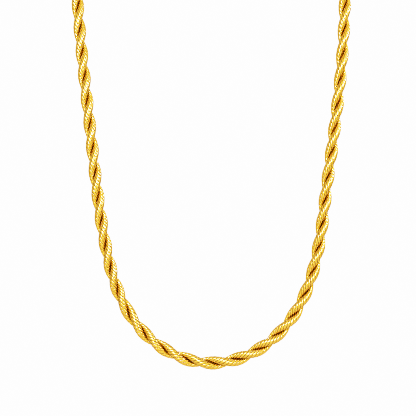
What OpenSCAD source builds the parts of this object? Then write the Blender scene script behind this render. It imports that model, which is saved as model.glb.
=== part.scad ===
// Twisted gold neck chain, fastened and as it hangs round a neck.
// Two ribbed strands are twisted into one rope. Their ends sit in two end caps,
// and two rings and a clasp close the loop at the back of the neck.
// Origin: inner side of the clasp, at the nape. +Z is up, -Y is the front.

/* [Strands] */
// Thickness of one strand, outwards from the middle of the rope
strand_thick = 2.5; // [2.2:0.1:2.7]
// Width of one strand, measured around the rope
strand_width = 3.2; // [2.8:0.1:3.4]
// Gap between the two strands in the middle of the rope
strand_gap = 0.12; // [0.08:0.02:0.3]
// How much fatter the inner side of a strand is than its outer side
strand_fat = 0.12; // [0:0.02:0.2]

/* [Loop] */
// Length all round the fastened chain, with its clasp
loop_len = 508; // [480:1:560]
// Lean of the front from upright, bottom forwards
front_lean = 8; // [0:1:14]
// Lean of the loop round the back of the neck, from upright
nape_lean = 60; // [45:1:66]
// Height above the lowest point where the loop starts to bend back
bend_from = 146; // [140:1:152]
// Stretch over which it bends back
bend_run = 34; // [24:1:40]

/* [End caps] */
// Wall of the barrel that holds the strand ends
cap_wall = 0.45; // [0.35:0.05:0.8]
// Depth of the barrel
cap_depth = 5.6; // [5:0.1:6]
// Bead round the mouth of the barrel
cap_bead = 0.3; // [0.1:0.05:0.5]
// Outer diameter of the eye soldered to the cap
eye_d = 3.4; // [3.2:0.1:3.8]

/* [Rings and clasp] */
// Outer diameter of the two rings
ring_d = 5; // [4.9:0.1:5.6]
// Wire of the rings and of the eyes
ring_wire = 0.8; // [0.7:0.05:0.9]
// Width of the clasp's body
clasp_w = 5.8; // [5.4:0.1:6.4]
// Thickness of the clasp's body
clasp_t = 2.4; // [2:0.1:2.8]

/* [Hidden] */
gold = [0.95, 0.74, 0.2];
pale_gold = [0.97, 0.8, 0.33];
wiggle = 0.2;       // play between linked pieces
sides = 8;          // facets round a strand
turn_rings = 10;    // cross-sections in one full turn of the twist

// The loop laid flat, from its lowest point up each side.
// Columns: length of the arc in mm, degrees it turns on the right, and on the left.
arcs = [
    [12, 21, 21],
    [14, 20.5, 21],
    [14, 18, 18.5],
    [16, 15, 14.5],
    [20, 8, 6],
    [24, -1.5, 2],
    [30, 2, -0.5],
    [32, 4.5, 2.5]
];

// The twist. Columns: mm along the chain from its lowest point, left to right,
// and half turns of the rope up to there. At a whole number one strand lies
// in front of the other, and halfway between they lie side by side.
lay = [
    [-301, -31],
    [-156.5, -16],
    [-127.5, -13],
    [-98.5, -10],
    [-79.5, -8],
    [-61, -6],
    [-43.5, -4],
    [-33, -3],
    [-23.5, -2],
    [5.5, 1],
    [51.5, 6],
    [88.5, 10],
    [117, 13],
    [157.5, 17],
    [301, 32]
];
unlay = [for (r = lay) [r[1], r[0]]];

rad = 180 / PI;

// A point [x, height, heading] after s mm of an arc that turns t degrees in l mm
function arc_to(p, l, t, s) =
    abs(t) < 0.001 ? [p[0] + s * cos(p[2]), p[1] + s * sin(p[2]), p[2]]
    : let (r = l * rad / t, h = p[2] + t * s / l)
      [p[0] + r * (sin(h) - sin(p[2])), p[1] + r * (cos(p[2]) - cos(h)), h];

// Walks along rows of [length, turn] for s mm
function walk(rows, s, i = 0, p = [0, 0, 0]) =
    s <= rows[i][0] || i == len(rows) - 1 ? arc_to(p, rows[i][0], rows[i][1], s)
    : walk(rows, s - rows[i][0], i + 1, arc_to(p, rows[i][0], rows[i][1], rows[i][0]));

function total(rows, i = 0) = i == len(rows) ? 0 : rows[i][0] + total(rows, i + 1);

// Above the arcs each side runs straight, then round in one arc to the nape.
// The two straights give the loop its length and make both sides end level.
shown = [for (side = [1, 2]) [for (r = arcs) [r[0], r[side]]]];
shown_len = total(shown[0]);
tops = [for (rows = shown) walk(rows, shown_len)];
// length and height of a side, as [fixed part, part per mm of straight]
function side_len(p) = let (a = (180 - p[2]) / rad / sin(p[2])) [shown_len + p[0] * a, 1 + cos(p[2]) * a];
function side_top(p) = let (a = (1 + cos(p[2])) / sin(p[2])) [p[1] + p[0] * a, sin(p[2]) + cos(p[2]) * a];
lr = side_len(tops[0]);
ll = side_len(tops[1]);
hr = side_top(tops[0]);
hl = side_top(tops[1]);
det = -lr[1] * hl[1] - ll[1] * hr[1];
rest_len = loop_len - lr[0] - ll[0];
rest_top = hl[0] - hr[0];
straights = [(-rest_len * hl[1] - ll[1] * rest_top) / det, (lr[1] * rest_top - rest_len * hr[1]) / det];
radii = [for (i = [0, 1]) (tops[i][0] + straights[i] * cos(tops[i][2])) / sin(tops[i][2])];
route = [for (i = [0, 1]) concat(shown[i], [[straights[i], 0], [radii[i] * (180 - tops[i][2]) / rad, 180 - tops[i][2]]])];
half = [total(route[0]), total(route[1])];
nape_h = walk(route[0], half[0])[1];

// The flat loop is bent back along this side profile
bend_r = bend_run * rad / (nape_lean - front_lean);
function lean(h) = front_lean + (nape_lean - front_lean) * max(0, min(1, (h - bend_from) / bend_run));
function profile(h) =
    let (a = min(h, bend_from), b = lean(h), c = max(0, h - bend_from - bend_run))
    [a * sin(front_lean) + bend_r * (cos(front_lean) - cos(b)) + c * sin(nape_lean),
     a * cos(front_lean) + bend_r * (sin(b) - sin(front_lean)) + c * cos(nape_lean)];
clasp_in = 0.2;     // how far the straight clasp lies inside the chain's arc
inside = clasp_t / 2 + clasp_in;
zero = profile(nape_h) - inside * [sin(nape_lean), cos(nape_lean)];

// Frame at s mm from the lowest point: [point, along, forwards, outwards]
function frame_at(s) =
    let (right = s >= 0, w = walk(route[right ? 0 : 1], abs(s)),
         x = right ? w[0] : -w[0], t = right ? w[2] : -w[2], b = lean(w[1]), p = profile(w[1]) - zero,
         up = [0, sin(b), cos(b)])
    [[x, p[0], p[1]], [cos(t), 0, 0] + sin(t) * up, [0, -cos(b), sin(b)], [sin(t), 0, 0] - cos(t) * up];

rope_r = strand_gap / 2 + strand_thick;
// Fastening, in mm from the middle of the nape
ring_r = (ring_d - ring_wire) / 2;
eye_r = (eye_d - ring_wire) / 2;
hole_r = 1;         // hole in the clasp's tail
tail_x = 6.4;       // from the clasp's middle to that hole
tail_t = 1.2;
hook_t = 1.4;
slot_x = 2.8;       // round end of the opening behind the hook
slot_r = 1.7;
hook_ring = slot_x + slot_r - ring_wire / 2 - 1.5 * wiggle + ring_r;
tail_ring = tail_x + hole_r - ring_wire / 2 - 1.5 * wiggle + ring_r;
hook_eye = hook_ring + ring_r - ring_wire - wiggle + eye_r;
tail_eye = tail_ring + ring_r - ring_wire - wiggle + eye_r;
neck_len = 1.9;     // from an eye's middle to the closed end of the bore
bore_r = rope_r + 0.22;
ends = [hook_eye + neck_len + 0.3, tail_eye + neck_len + 0.3];   // where the strands stop

first = lookup(ends[1] - half[1], lay);
last = lookup(half[0] - ends[0], lay);
steps = ceil((last - first) * turn_rings / 2);

// One strand: an oval, fatter towards the middle of the rope, swept round the rope's line
module strand(turned) {
    mid = rope_r - strand_thick / 2;
    rings = [for (i = [0 : steps])
        let (n = first + (last - first) * i / steps, f = frame_at(lookup(n, unlay)), a = 180 * n + turned,
             out = cos(a) * f[2] + sin(a) * f[3], round = cos(a) * f[3] - sin(a) * f[2])
        for (k = [0 : sides - 1])
            let (t = 360 * k / sides)
            f[0] + (mid + strand_thick / 2 * cos(t)) * out
                 + strand_width / 2 * sin(t) * (1 - strand_fat * cos(t)) * round];
    walls = [for (i = [0 : steps - 1], k = [0 : sides - 1])
        let (a = i * sides + k, b = i * sides + (k + 1) % sides)
        each [[a, a + sides, b + sides], [a, b + sides, b]]];
    e = steps * sides;
    lids = [for (k = [1 : sides - 2]) each [[0, k, k + 1], [e, e + k + 1, e + k]]];
    polyhedron(points = rings, faces = concat(walls, lids), convexity = 10);
}

// Puts a piece at s mm from the middle of the nape, with X along the chain, Y out from the neck
module at_nape(s) {
    r = radii[s >= 0 ? 0 : 1];
    p = profile(nape_h) - zero;
    translate([0, p[0], p[1]]) rotate([90 - nape_lean, 0, 0])
        translate([0, -r, 0]) rotate([0, 0, -s * rad / r]) translate([0, r, 0]) children();
}

module ring(r, wire) {
    rotate_extrude($fn = 48) translate([r, 0]) circle(d = wire, $fn = 24);
}

// Barrel with a beaded mouth, a shoulder and an eye. X runs from the eye to the mouth, 0 at the eye
module end_cap() {
    o = bore_r + cap_wall;
    m = neck_len + cap_depth;
    union() {
        rotate([0, 90, 0]) rotate_extrude($fn = 64) polygon([
            [0, eye_r - 0.1], [0.75, eye_r - 0.1], [0.9, eye_r + 0.1], [o - 0.7, neck_len - 0.35], [o, neck_len + 0.5],
            [o, m - 0.9], [o + cap_bead, m - 0.65], [o + cap_bead, m - 0.25], [o, m],
            [bore_r, m], [bore_r, neck_len], [0, neck_len]]);
        rotate([90, 0, 0]) ring(eye_r, ring_wire);
    }
}

module place_cap(s, side) {
    // the barrel follows the chain where the strands are
    mid = s + neck_len + cap_depth / 2;
    at_nape(side * mid) rotate([0, 0, side > 0 ? 0 : 180]) translate([s - mid, 0, 0]) end_cap();
}

module strand_a() { color(gold) strand(0); }
module strand_b() { color(pale_gold) strand(180); }
module end_cap_left() { color(gold) place_cap(tail_eye, -1); }
module end_cap_right() { color(gold) place_cap(hook_eye, 1); }
module ring_left() { color(pale_gold) at_nape(-tail_ring) translate([0, 0.4, 0]) ring(ring_r, ring_wire); }
module ring_right() { color(pale_gold) at_nape(hook_ring) translate([0, 0.1, 0]) ring(ring_r, ring_wire); }

// Closed clasp in one piece: a drop with an opening behind its hook, and a tail with a hole.
// It lies flat against the neck
module clasp() {
    big = clasp_w / 2;
    small = 1.5;
    back = -3.6;
    module drop(r1, x1, r2, x2, t) {
        // two discs and the two tangents between them
        a = acos((r2 - r1) / (x1 - x2));
        rotate([90, 0, 0]) linear_extrude(height = t, center = true) union() {
            translate([x1, 0]) circle(r = r1, $fn = 64);
            translate([x2, 0]) circle(r = r2, $fn = 48);
            polygon([[x1 + r1 * cos(a), r1 * sin(a)], [x2 + r2 * cos(a), r2 * sin(a)],
                     [x2 + r2 * cos(a), -r2 * sin(a)], [x1 + r1 * cos(a), -r1 * sin(a)]]);
        }
    }
    color(gold) at_nape(0) translate([0, -clasp_in, 0]) difference() {
        union() {
            intersection() {
                drop(big, slot_x, small, back, clasp_t);
                translate([slot_x - 1.4 - 20, 0, 0]) cube([40, 10, 20], center = true);
            }
            drop(big, slot_x, small, back, hook_t);
            translate([-tail_x, 0, 0]) rotate([90, 0, 0]) cylinder(r = 1.75, h = tail_t, center = true, $fn = 48);
            // thumb piece of the lever
            translate([-1.4, 0, 2.1]) rotate([90, 0, 0]) cylinder(r = 0.8, h = hook_t, center = true, $fn = 32);
        }
        drop(slot_r, slot_x, 0.9, -0.4, 10);
        translate([-tail_x, 0, 0]) rotate([90, 0, 0]) cylinder(r = hole_r, h = 10, center = true, $fn = 48);
    }
}

strand_a();
strand_b();
end_cap_left();
end_cap_right();
ring_left();
ring_right();
clasp();
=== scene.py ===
import math
from math import sin, cos, radians, degrees, pi

import bmesh
import bpy
import numpy as np
from mathutils import Matrix, Vector


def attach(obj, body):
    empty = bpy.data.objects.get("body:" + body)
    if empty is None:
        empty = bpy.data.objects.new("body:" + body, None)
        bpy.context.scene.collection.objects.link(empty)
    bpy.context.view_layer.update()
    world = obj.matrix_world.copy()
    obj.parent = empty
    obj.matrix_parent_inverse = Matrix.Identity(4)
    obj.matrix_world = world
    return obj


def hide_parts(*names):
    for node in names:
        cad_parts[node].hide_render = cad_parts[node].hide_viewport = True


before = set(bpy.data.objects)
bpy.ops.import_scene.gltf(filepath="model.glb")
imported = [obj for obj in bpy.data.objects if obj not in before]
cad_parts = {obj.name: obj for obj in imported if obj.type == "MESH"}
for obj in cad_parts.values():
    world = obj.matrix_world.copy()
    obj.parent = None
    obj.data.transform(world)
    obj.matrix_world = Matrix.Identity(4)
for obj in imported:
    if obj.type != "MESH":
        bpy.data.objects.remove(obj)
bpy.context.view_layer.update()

MM = 0.001

# ---------------------------------------------------------------- sizes, in mm
STRAND_THICK, STRAND_WIDTH, STRAND_GAP, STRAND_FAT = 2.5, 3.2, 0.12, 0.12
LOOP_LEN, FRONT_LEAN, NAPE_LEAN, BEND_FROM, BEND_RUN = 508.0, 8.0, 60.0, 146.0, 34.0
CLASP_T, CLASP_IN = 2.4, 0.2
WIGGLE, RING_D, RING_WIRE, EYE_D = 0.2, 5.0, 0.8, 3.4
NECK_LEN, HOLE_R, TAIL_X, SLOT_X, SLOT_R = 1.9, 1.0, 6.4, 2.8, 1.7

# columns: arc length, degrees turned on the right, degrees turned on the left
ARCS = ((12, 21, 21), (14, 20.5, 21), (14, 18, 18.5), (16, 15, 14.5),
        (20, 8, 6), (24, -1.5, 2), (30, 2, -0.5), (32, 4.5, 2.5))
# columns: mm from the lowest point, half turns of the rope up to there
LAY = ((-301, -31), (-156.5, -16), (-127.5, -13), (-98.5, -10), (-79.5, -8), (-61, -6),
       (-43.5, -4), (-33, -3), (-23.5, -2), (5.5, 1), (51.5, 6), (88.5, 10), (117, 13),
       (157.5, 17), (301, 32))


# ---------------------------------------------------------------- the rope's line
def arc_to(p, length, turn, s):
    x, v, h = p
    if abs(turn) < 1e-3:
        return (x + s * cos(h), v + s * sin(h), h)
    r = length / radians(turn)
    h2 = h + radians(turn) * s / length
    return (x + r * (sin(h2) - sin(h)), v + r * (cos(h) - cos(h2)), h2)


def walk(rows, s):
    p = (0.0, 0.0, 0.0)
    for i, (length, turn) in enumerate(rows):
        if s <= length or i == len(rows) - 1:
            return arc_to(p, length, turn, s)
        p = arc_to(p, length, turn, length)
        s -= length


def build_route():
    shown = [[(a[0], a[j]) for a in ARCS] for j in (1, 2)]
    shown_len = sum(a[0] for a in ARCS)
    tops = [walk(r, shown_len) for r in shown]
    lens, highs = [], []
    for x, v, h in tops:
        a = (pi - h) / sin(h)
        lens.append((shown_len + x * a, 1 + cos(h) * a))
        a = (1 + cos(h)) / sin(h)
        highs.append((v + x * a, sin(h) + cos(h) * a))
    m = np.array([[lens[0][1], lens[1][1]], [highs[0][1], -highs[1][1]]])
    straight = np.linalg.solve(m, [LOOP_LEN - lens[0][0] - lens[1][0], highs[1][0] - highs[0][0]])
    radii = [(tops[i][0] + straight[i] * cos(tops[i][2])) / sin(tops[i][2]) for i in (0, 1)]
    rows = [shown[i] + [(straight[i], 0), (radii[i] * (pi - tops[i][2]), degrees(pi - tops[i][2]))]
            for i in (0, 1)]
    return rows, radii, [sum(r[0] for r in rows[i]) for i in (0, 1)]


ROUTE, RADII, HALF = build_route()
NAPE_H = walk(ROUTE[0], HALF[0])[1]
BEND_R = BEND_RUN / radians(NAPE_LEAN - FRONT_LEAN)


def lean(h):
    return radians(FRONT_LEAN + (NAPE_LEAN - FRONT_LEAN) * max(0.0, min(1.0, (h - BEND_FROM) / BEND_RUN)))


def profile(h):
    a, b, c = min(h, BEND_FROM), lean(h), max(0.0, h - BEND_FROM - BEND_RUN)
    f, n = radians(FRONT_LEAN), radians(NAPE_LEAN)
    return np.array([a * sin(f) + BEND_R * (cos(f) - cos(b)) + c * sin(n),
                     a * cos(f) + BEND_R * (sin(b) - sin(f)) + c * cos(n)])


INSIDE = CLASP_T / 2 + CLASP_IN
ZERO = profile(NAPE_H) - INSIDE * np.array([sin(radians(NAPE_LEAN)), cos(radians(NAPE_LEAN))])


def frame_at(s):
    """Point, along, forwards, outwards at s mm from the lowest point."""
    right = s >= 0
    x, v, t = walk(ROUTE[0 if right else 1], abs(s))
    if not right:
        x, t = -x, -t
    b = lean(v)
    p = profile(v) - ZERO
    up, ex = np.array([0, sin(b), cos(b)]), np.array([1.0, 0, 0])
    return (np.array([x, p[0], p[1]]), cos(t) * ex + sin(t) * up,
            np.array([0, -cos(b), sin(b)]), sin(t) * ex - cos(t) * up)


LAY_S, LAY_N = np.array(LAY, float).T
RING_R = (RING_D - RING_WIRE) / 2
EYE_R = (EYE_D - RING_WIRE) / 2
HOOK_RING = SLOT_X + SLOT_R - RING_WIRE / 2 - 1.5 * WIGGLE + RING_R
TAIL_RING = TAIL_X + HOLE_R - RING_WIRE / 2 - 1.5 * WIGGLE + RING_R
HOOK_EYE = HOOK_RING + RING_R - RING_WIRE - WIGGLE + EYE_R
TAIL_EYE = TAIL_RING + RING_R - RING_WIRE - WIGGLE + EYE_R
ENDS = (HOOK_EYE + NECK_LEN + 0.3, TAIL_EYE + NECK_LEN + 0.3)
FIRST = float(np.interp(ENDS[1] - HALF[1], LAY_S, LAY_N))
LAST = float(np.interp(HALF[0] - ENDS[0], LAY_S, LAY_N))
ROPE_R = STRAND_GAP / 2 + STRAND_THICK


# ---------------------------------------------------------------- camera
# The photograph looks level at the front of the loop from 340 mm.
VIEW_DIST, PX_MM = 340.0, 0.385
low = frame_at(0.0)[0]
eye = np.array([low[0] - 1.383,
                low[1] - (VIEW_DIST - 58.8 * sin(radians(FRONT_LEAN))),
                low[2] + 58.8 * cos(radians(FRONT_LEAN))])
cam_data = bpy.data.cameras.new("camera")
cam_data.sensor_width = 36.0
cam_data.lens = 36.0 * (VIEW_DIST / PX_MM) / 416.0
cam_data.clip_start, cam_data.clip_end = 0.01, 20.0
cam = bpy.data.objects.new("camera", cam_data)
cam.location = Vector(eye) * MM
cam.rotation_euler = (pi / 2, 0, 0)
bpy.context.collection.objects.link(cam)
bpy.context.scene.camera = cam


# ---------------------------------------------------------------- mesh helpers
def mesh_object(name, verts, faces, smooth=True):
    """verts in mm, faces a list of index tuples or an (n, 4) / (n, 3) array."""
    me = bpy.data.meshes.new(name)
    verts = np.asarray(verts, dtype=np.float64) * MM
    if isinstance(faces, list):
        me.from_pydata(verts.tolist(), [], faces)
    else:
        me.vertices.add(len(verts))
        me.vertices.foreach_set("co", verts.astype(np.float32).ravel())
        n, k = faces.shape
        me.loops.add(n * k)
        me.loops.foreach_set("vertex_index", faces.astype(np.int32).ravel())
        me.polygons.add(n)
        me.polygons.foreach_set("loop_start", np.arange(0, n * k, k, dtype=np.int32))
    me.update(calc_edges=True)
    me.validate()
    if smooth:
        me.polygons.foreach_set("use_smooth", np.ones(len(me.polygons), dtype=bool))
    ob = bpy.data.objects.new(name, me)
    bpy.context.collection.objects.link(ob)
    return ob


def add_attr(ob, name, values):
    at = ob.data.attributes.new(name, "FLOAT", "POINT")
    at.data.foreach_set("value", np.asarray(values, dtype=np.float32))


def unit(v):
    return v / np.linalg.norm(v, axis=-1, keepdims=True)


def tube_faces(rings, sides, base=0):
    """Triangles of a closed tube of rings x sides points, with fan-closed ends."""
    i = np.arange(rings - 1)[:, None] * sides
    k = np.arange(sides)[None, :]
    a, b = i + k, i + (k + 1) % sides
    quads = np.stack([a, b, b + sides, a + sides], axis=-1).reshape(-1, 4)
    tris = np.concatenate([quads[:, [0, 1, 2]], quads[:, [0, 2, 3]]])
    e = (rings - 1) * sides
    lid = [(0, j + 1, j) for j in range(1, sides - 1)] + [(e, e + j, e + j + 1) for j in range(1, sides - 1)]
    return np.concatenate([tris, np.array(lid)]) + base


# ---------------------------------------------------------------- the strands
WIRES = 7             # wires in a strand
WIRE_TURNS = 2.85     # left-hand turns of the wires in the section, for one turn of the rope
WIRE_H = 0.17         # height of a wire's rounded back above the groove beside it
SEGMENTS = 14         # cross-sections in one turn of a wire
WIRE_CUT = 0.4        # how far before the solid's end the wires are cut, as their cut ends stand aslant
# cross-section of a wire: places across in half widths, and heights in WIRE_H
WIRE_X = np.array([-1.0, -0.85, -0.6, -0.3, 0.0, 0.3, 0.6, 0.85, 1.0, 0.96, 0.0, -0.96])
WIRE_Z = np.array([0.0, 0.32, 0.68, 0.92, 1.0, 0.92, 0.68, 0.32, 0.0, -0.6, -1.5, -0.6])

PRESSED = 0.1         # how far each strand bulges towards the other beyond its solid

CORE_PAST = 0.03      # how far each core passes the rope's middle

section_t = np.linspace(0, 2 * pi, 721)


def section(theta, inset):
    ar, at = (STRAND_THICK + PRESSED) / 2 - inset, STRAND_WIDTH / 2 - inset
    mid = ROPE_R - (STRAND_THICK + PRESSED) / 2
    r = mid + ar * np.cos(theta)
    t = at * np.sin(theta) * (1 - STRAND_FAT * np.cos(theta))
    dr = -ar * np.sin(theta)
    dt = at * (np.cos(theta) - STRAND_FAT * np.cos(2 * theta))
    return r, t, dr, dt


def build_strand(name, turned, seed):
    turns = (LAST - FIRST) / 2
    count = int(math.ceil(turns * WIRE_TURNS * SEGMENTS))
    n_first, n_last = np.interp([ENDS[1] - HALF[1] + WIRE_CUT, HALF[0] - ENDS[0] - WIRE_CUT], LAY_S, LAY_N)
    n_half = np.linspace(n_first, n_last, count + 1)
    s = np.interp(n_half, LAY_N, LAY_S)
    fr = [frame_at(v) for v in s]
    c = np.array([f[0] for f in fr])
    fn = np.array([f[2] for f in fr])
    fb = np.array([f[3] for f in fr])
    phi = pi * n_half + turned
    er = np.cos(phi)[:, None] * fn + np.sin(phi)[:, None] * fb
    et = np.cos(phi)[:, None] * fb - np.sin(phi)[:, None] * fn

    r, t, dr, dt = section(section_t, WIRE_H)
    step = np.hypot(np.diff(r), np.diff(t))
    along = np.concatenate([[0], np.cumsum(step)])
    around = along[-1]
    along /= around

    verts, tris, groove, deep, tint = [], [], [], [], []
    base = 0
    rng = np.random.default_rng(seed)
    for j in range(WIRES):
        q = (j / WIRES - WIRE_TURNS * (n_half - FIRST) / 2) % 1.0
        theta = np.interp(q, along, section_t)
        pr, pt, dr, dt = section(theta, WIRE_H)
        p = c + pr[:, None] * er + pt[:, None] * et
        tau = unit(dr[:, None] * er + dt[:, None] * et)
        out = unit(dt[:, None] * er - dr[:, None] * et)
        tan = unit(np.gradient(p, axis=0))
        side = unit(np.cross(tan, out))
        out = np.cross(side, tan)
        half_w = 0.5 * around / WIRES * np.abs(np.sum(tau * side, axis=1))
        ring = (p[:, None, :] + WIRE_H * WIRE_Z[None, :, None] * out[:, None, :]
                + half_w[:, None, None] * WIRE_X[None, :, None] * side[:, None, :])
        verts.append(ring.reshape(-1, 3))
        tris.append(tube_faces(len(p), len(WIRE_X), base))
        base += ring.shape[0] * ring.shape[1]
        groove.append(np.tile(1 - np.clip(WIRE_Z, 0, 1), len(p)))
        # distance from the rope's middle, 0 in the middle to 1 outside
        rel = ring - c[:, None, :]
        deep.append((np.linalg.norm(rel, axis=2) / ROPE_R).ravel())
        tint.append(np.full(ring.shape[0] * ring.shape[1], rng.random()))

    # core that closes the gaps between the wires, and rests on the other strand's core
    every = slice(0, None, 3)
    k = 12
    th = np.linspace(0, 2 * pi, k, endpoint=False)
    pr, pt, _, _ = section(th, WIRE_H + 0.06)
    inner, outer = pr.min(), pr.max()
    pr = outer - (outer - pr) * (outer + CORE_PAST) / (outer - inner)
    ce, ere, ete = c[every], er[every], et[every]
    core = ce[:, None, :] + pr[None, :, None] * ere[:, None, :] + pt[None, :, None] * ete[:, None, :]
    verts.append(core.reshape(-1, 3))
    tris.append(tube_faces(len(ce), k, base)[:, ::-1])
    groove.append(np.full(core.shape[0] * k, 1.0))
    deep.append(np.full(core.shape[0] * k, 0.3))
    tint.append(np.full(core.shape[0] * k, 0.5))

    ob = mesh_object(name, np.concatenate(verts), np.concatenate(tris))
    add_attr(ob, "groove", np.concatenate(groove))
    add_attr(ob, "deep", np.concatenate(deep))
    add_attr(ob, "tint", np.concatenate(tint))
    return ob


def dry_faces(ob):
    """Gives the faces at the bottom of the valley the second material."""
    me = ob.data
    depth = np.empty(len(me.vertices), np.float32)
    me.attributes["deep"].data.foreach_get("value", depth)
    corner = np.empty(len(me.loops), np.int32)
    me.loops.foreach_get("vertex_index", corner)
    mean = depth[corner.reshape(-1, 3)].mean(axis=1)
    me.polygons.foreach_set("material_index", (mean < LACQUER_END).astype(np.int32))


# ---------------------------------------------------------------- materials
def node(nt, kind, x=0, y=0, **sockets):
    n = nt.nodes.new(kind)
    n.location = (x, y)
    for k, v in sockets.items():
        n.inputs[k.replace("_", " ")].default_value = v
    return n


# places in the valley between the strands, as distance from the rope's middle in rope radii
VALLEY_DARK = (0.61, 0.46)
VALLEY_SIDE = (0.82, 0.45)
# painted reflection: saturated gold of light bounced between the strands, on the sides of the valley
VALLEY_BOUNCE_GOLD = (1.0, 0.42, 0.002)
# painted shade: dark brown at the bottom of the valley between the strands
VALLEY_SHADE_BROWN = (0.06, 0.015, 0.001)
LACQUER_END = 0.535   # how deep the lacquer reaches, on the same scale as VALLEY_DARK
# strength of the painted shade on the wires' backs at the bottom of the valley
VALLEY_BACKS_SHADE = 0.5    # how dark the wires' backs are at the bottom of the valley, the grooves being 1


def gold_material(name, bright, deep, shadow, rough, scale, bump, lacquer, wires):
    m = bpy.data.materials.new(name)
    m.use_nodes = True
    nt = m.node_tree
    nt.nodes.clear()
    out = node(nt, "ShaderNodeOutputMaterial", 900)
    bs = node(nt, "ShaderNodeBsdfPrincipled", 600)
    nt.links.new(bs.outputs[0], out.inputs[0])
    bs.inputs["Metallic"].default_value = 1.0
    # clear lacquer over the plating: its index and roughness
    if lacquer:
        bs.inputs["Coat Weight"].default_value = 1.0
        bs.inputs["Coat IOR"].default_value = lacquer[0]
        bs.inputs["Coat Roughness"].default_value = lacquer[1]
    co = node(nt, "ShaderNodeTexCoord", -1400)
    # broad, faint change of colour along the metal
    broad = node(nt, "ShaderNodeTexNoise", -1100, 300)
    broad.inputs["Scale"].default_value = 220.0
    broad.inputs["Detail"].default_value = 3.0
    nt.links.new(co.outputs["Object"], broad.inputs["Vector"])
    # fine grain for gloss and bump
    fine = node(nt, "ShaderNodeTexNoise", -1100, -200)
    fine.inputs["Scale"].default_value = scale
    fine.inputs["Detail"].default_value = 4.0
    fine.inputs["Roughness"].default_value = 0.6
    nt.links.new(co.outputs["Object"], fine.inputs["Vector"])

    mix1 = node(nt, "ShaderNodeMix", -300, 300)
    mix1.data_type = "RGBA"
    mix1.inputs[6].default_value = (*bright, 1)
    mix1.inputs[7].default_value = (*deep, 1)
    if wires:
        tint = node(nt, "ShaderNodeAttribute", -1100, 600)
        tint.attribute_name = "tint"
        ave = node(nt, "ShaderNodeMath", -800, 500)
        ave.operation = "MULTIPLY_ADD"
        ave.inputs[1].default_value = 0.35
        nt.links.new(tint.outputs["Fac"], ave.inputs[0])
        nt.links.new(broad.outputs["Fac"], ave.inputs[2])
        lo, hi = 0.35, 1.05
        src = ave.outputs[0]
    else:
        lo, hi = 0.35, 0.7
        src = broad.outputs["Fac"]
    rg = node(nt, "ShaderNodeMapRange", -550, 400)
    rg.inputs["From Min"].default_value = lo
    rg.inputs["From Max"].default_value = hi
    nt.links.new(src, rg.inputs["Value"])
    nt.links.new(rg.outputs[0], mix1.inputs[0])
    colour = mix1.outputs[2]
    if wires:
        # painted shade: the grooves between the wires and the valley between the strands are darkened in the colour
        # where shade falls
        gr = node(nt, "ShaderNodeAttribute", -1100, 0)
        gr.attribute_name = "groove"
        gm = node(nt, "ShaderNodeMapRange", -550, 100)
        gm.interpolation_type = "SMOOTHSTEP"
        gm.inputs["From Min"].default_value = 0.25
        gm.inputs["From Max"].default_value = 0.85
        nt.links.new(gr.outputs["Fac"], gm.inputs["Value"])
        mix2 = node(nt, "ShaderNodeMix", 0, 200)
        mix2.data_type = "RGBA"
        mix2.inputs[7].default_value = (*shadow, 1)
        nt.links.new(gm.outputs[0], mix2.inputs[0])
        nt.links.new(colour, mix2.inputs[6])
        dp = node(nt, "ShaderNodeAttribute", -1100, -400)
        dp.attribute_name = "deep"
        dm = node(nt, "ShaderNodeMapRange", -550, -200)
        dm.interpolation_type = "SMOOTHSTEP"
        dm.inputs["From Min"].default_value = VALLEY_DARK[0]
        dm.inputs["From Max"].default_value = VALLEY_DARK[1]
        nt.links.new(dp.outputs["Fac"], dm.inputs["Value"])
        # painted reflection: the sides of the valley take the deeper, saturated gold of light bounced between the
        # strands
        sm = node(nt, "ShaderNodeMapRange", -550, -350)
        sm.interpolation_type = "SMOOTHSTEP"
        sm.inputs["From Min"].default_value = VALLEY_SIDE[0]
        sm.inputs["From Max"].default_value = VALLEY_SIDE[1]
        nt.links.new(dp.outputs["Fac"], sm.inputs["Value"])
        mix4 = node(nt, "ShaderNodeMix", 120, 200)
        mix4.data_type = "RGBA"
        mix4.inputs[7].default_value = (*VALLEY_BOUNCE_GOLD, 1)
        nt.links.new(sm.outputs[0], mix4.inputs[0])
        nt.links.new(mix2.outputs[2], mix4.inputs[6])
        # painted shade: the bottom of the valley turns dark brown
        mix3 = node(nt, "ShaderNodeMix", 250, 200)
        mix3.data_type = "RGBA"
        mix3.inputs[7].default_value = (*VALLEY_SHADE_BROWN, 1)
        # the painted valley shade is weaker on a wire's back than in the grooves beside it
        rib = node(nt, "ShaderNodeMath", -100, -100)
        rib.operation = "MULTIPLY_ADD"
        rib.inputs[1].default_value = 1 - VALLEY_BACKS_SHADE
        rib.inputs[2].default_value = VALLEY_BACKS_SHADE
        nt.links.new(gm.outputs[0], rib.inputs[0])
        dark = node(nt, "ShaderNodeMath", 100, -100)
        dark.operation = "MULTIPLY"
        nt.links.new(dm.outputs[0], dark.inputs[0])
        nt.links.new(rib.outputs[0], dark.inputs[1])
        nt.links.new(dark.outputs[0], mix3.inputs[0])
        nt.links.new(mix4.outputs[2], mix3.inputs[6])
        colour = mix3.outputs[2]
    nt.links.new(colour, bs.inputs["Base Color"])
    rr = node(nt, "ShaderNodeMapRange", -550, -500)
    rr.inputs["From Min"].default_value = 0.3
    rr.inputs["From Max"].default_value = 0.7
    rr.inputs["To Min"].default_value = rough[0]
    rr.inputs["To Max"].default_value = rough[1]
    nt.links.new(fine.outputs["Fac"], rr.inputs["Value"])
    nt.links.new(rr.outputs[0], bs.inputs["Roughness"])
    bp = node(nt, "ShaderNodeBump", 250, -300)
    bp.inputs["Strength"].default_value = bump
    bp.inputs["Distance"].default_value = 0.00002
    nt.links.new(fine.outputs["Fac"], bp.inputs["Height"])
    nt.links.new(bp.outputs[0], bs.inputs["Normal"])
    return m


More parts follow.
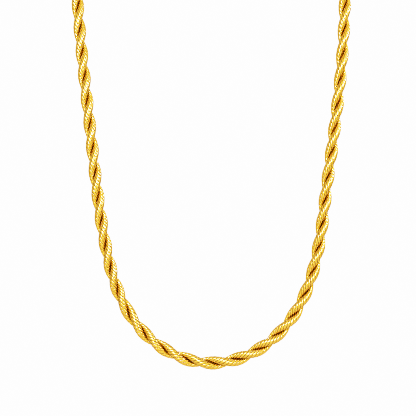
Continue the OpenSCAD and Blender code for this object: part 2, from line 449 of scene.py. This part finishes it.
# bright and deep gold mixed at random, painted shade in the grooves between the wires, roughness range, grain
# scale, bump
WIRE_LOOK = ((1.0, 0.46, 0.006), (1.0, 0.42, 0.004), (0.30, 0.085, 0.001), (0.38, 0.48), 5200.0, 0.3)
strand_gold = gold_material("wire_gold", *WIRE_LOOK, (2.0, 0.2), True)
# the same gold at the bottom of the valley, which the lacquer doesn't reach
valley_gold = gold_material("wire_gold_valley", *WIRE_LOOK, None, True)
fitting_gold = gold_material("polished_gold", (1.0, 0.53, 0.03), (1.0, 0.49, 0.02), (0.7, 0.30, 0.003),
                             (0.30, 0.42), 2600.0, 0.25, (1.5, 0.2), False)

# ---------------------------------------------------------------- pieces
strands = []
for label, turned, seed in (("a", 0.0, 11), ("b", pi, 12)):
    ob = build_strand("strand_%s_wires" % label, turned, seed)
    ob.data.materials.append(strand_gold)
    ob.data.materials.append(valley_gold)
    dry_faces(ob)
    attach(ob, "root")
    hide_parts("strand_" + label)
    strands.append(ob)

for name in ("ring_left", "ring_right"):
    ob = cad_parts[name]
    for sl in ob.material_slots:
        sl.material = fitting_gold


def eased(name, width):
    """The piece of that name with its sharp edges rounded over width mm."""
    me = bpy.data.meshes.new(name + "_eased")
    bm = bmesh.new()
    bm.from_mesh(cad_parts[name].data)
    bmesh.ops.remove_doubles(bm, verts=bm.verts, dist=1e-6)
    bmesh.ops.dissolve_limit(bm, angle_limit=radians(0.6), verts=bm.verts, edges=bm.edges)
    sharp = [e for e in bm.edges if len(e.link_faces) == 2 and e.calc_face_angle(0) > radians(30)]
    bmesh.ops.bevel(bm, geom=sharp, offset=width * MM, offset_type="OFFSET", segments=3, profile=0.5,
                    affect="EDGES", clamp_overlap=True)
    for f in bm.faces:
        f.smooth = True
    bm.to_mesh(me)
    bm.free()
    me.materials.clear()
    me.materials.append(fitting_gold)
    ob = bpy.data.objects.new(name + "_eased", me)
    bpy.context.collection.objects.link(ob)
    # flat faces keep their own normals up to the rounded edge
    weigh = ob.modifiers.new("weigh", "WEIGHTED_NORMAL")
    weigh.weight = 100
    ob.data = bpy.data.meshes.new_from_object(ob.evaluated_get(bpy.context.evaluated_depsgraph_get()))
    ob.data.name = name + "_eased"
    ob.modifiers.clear()
    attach(ob, "root")
    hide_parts(name)
    return ob


for name, width in (("end_cap_left", 0.12), ("end_cap_right", 0.12), ("clasp", 0.22)):
    eased(name, width)

# ---------------------------------------------------------------- floor, backdrop, light
WHITE_SHEET = 4.2     # brightness of the floor and the surroundings where the camera looks straight at them
ROOM = 0.74           # brightness of the surroundings as light
WARM = (1.0, 0.89, 0.24)    # colour of the surroundings and of the broad lamps
PURE = (1.0, 1.0, 1.0)


def sheet_shader(nt, lit):
    """Mixes the lit shader with plain white paper for what the camera looks straight at."""
    white = node(nt, "ShaderNodeEmission" if lit.node.type != "BACKGROUND" else "ShaderNodeBackground")
    white.inputs["Color"].default_value = (1, 1, 1, 1)
    white.inputs["Strength"].default_value = WHITE_SHEET
    seen = node(nt, "ShaderNodeLightPath")
    pick = node(nt, "ShaderNodeMixShader")
    nt.links.new(seen.outputs["Is Camera Ray"], pick.inputs[0])
    nt.links.new(lit, pick.inputs[1])
    nt.links.new(white.outputs[0], pick.inputs[2])
    return pick.outputs[0]


def make_floor():
    """Wide round floor, well below the chain."""
    z0, rings, sides = -250.0, (0.0, 150.0, 400.0, 900.0, 2500.0, 9000.0), 64
    verts = [(0.0, 0.0, z0)] + [(r * cos(2 * pi * k / sides), r * sin(2 * pi * k / sides), z0)
                                for r in rings[1:] for k in range(sides)]
    faces = [(0, 1 + k, 1 + (k + 1) % sides) for k in range(sides)]
    for i in range(len(rings) - 2):
        b = 1 + i * sides
        faces += [(b + k, b + sides + k, b + sides + (k + 1) % sides, b + (k + 1) % sides) for k in range(sides)]
    return mesh_object("floor", verts, faces)


floor = make_floor()
floor_white = bpy.data.materials.new("floor_white")
floor_white.use_nodes = True
ft = floor_white.node_tree
paper = ft.nodes["Principled BSDF"]
paper.inputs["Base Color"].default_value = (0.72, 0.64, 0.24, 1)
paper.inputs["Roughness"].default_value = 0.9
paper.inputs["Specular IOR Level"].default_value = 0.1
ft.links.new(sheet_shader(ft, paper.outputs[0]), ft.nodes["Material Output"].inputs[0])
floor.data.materials.append(floor_white)

world = bpy.data.worlds.new("studio")
bpy.context.scene.world = world
world.use_nodes = True
wt = world.node_tree
room = wt.nodes["Background"]
room.inputs["Color"].default_value = (*WARM, 1)
room.inputs["Strength"].default_value = ROOM
wt.links.new(sheet_shader(wt, room.outputs[0]), wt.nodes["World Output"].inputs[0])


AIM = Vector((0, -0.05, -0.12))


def lamp(name, turn, height, radiance, width, tall, colour=WARM, far=0.8):
    """Soft lamp seen from the chain at turn degrees from the camera's side, to the right, and height degrees up."""
    a, e = radians(turn), radians(height)
    d = Vector((sin(a) * cos(e), -cos(a) * cos(e), sin(e)))
    li = bpy.data.lights.new(name, "AREA")
    li.shape = "ELLIPSE"
    li.size, li.size_y = 2 * far * math.tan(radians(width)), 2 * far * math.tan(radians(tall))
    li.energy = radiance * pi * pi * li.size * li.size_y / 4
    li.color = colour
    ob = bpy.data.objects.new(name, li)
    ob.location = AIM + d * far
    ob.rotation_euler = (-d).to_track_quat("-Z", "Y").to_euler()
    ob.visible_camera = False
    bpy.context.collection.objects.link(ob)
    return ob


lamp("front", -3.4, 24, 68.0, 10, 10, PURE)
lamp("right", 69, 26, 195.0, 4.1, 4.1, PURE)
lamp("top", 11, 89, 2.1, 17, 17)
lamp("behind", 189, -30, 9.9, 21, 21)
lamp("left", 247, 19, 1.04, 23, 23)
lamp("backdrop", 180, 0, 0.84, 60, 60)

# the tones roll off towards white as in a photograph, so bright gold turns cream
view = bpy.context.scene.view_settings
view.view_transform = "Standard"
view.look = "None"
view.use_curve_mapping = True
FULL = 5.0
tones = view.curve_mapping
tones.black_level, tones.white_level = (0, 0, 0), (FULL, FULL, FULL)
tones.extend = "HORIZONTAL"
curve = tones.curves[3]
curve.points[0].location = (0, 0)
curve.points[-1].location = (1, 1 - math.exp(-FULL))
for x in (0.02, 0.05, 0.1, 0.15, 0.2, 0.3, 0.4, 0.5, 0.65, 0.8):
    curve.points.new(x, 1 - math.exp(-FULL * x))
tones.update()
bpy.context.scene.cycles.filter_width = 1.1
bpy.context.scene.cycles.use_denoising = False
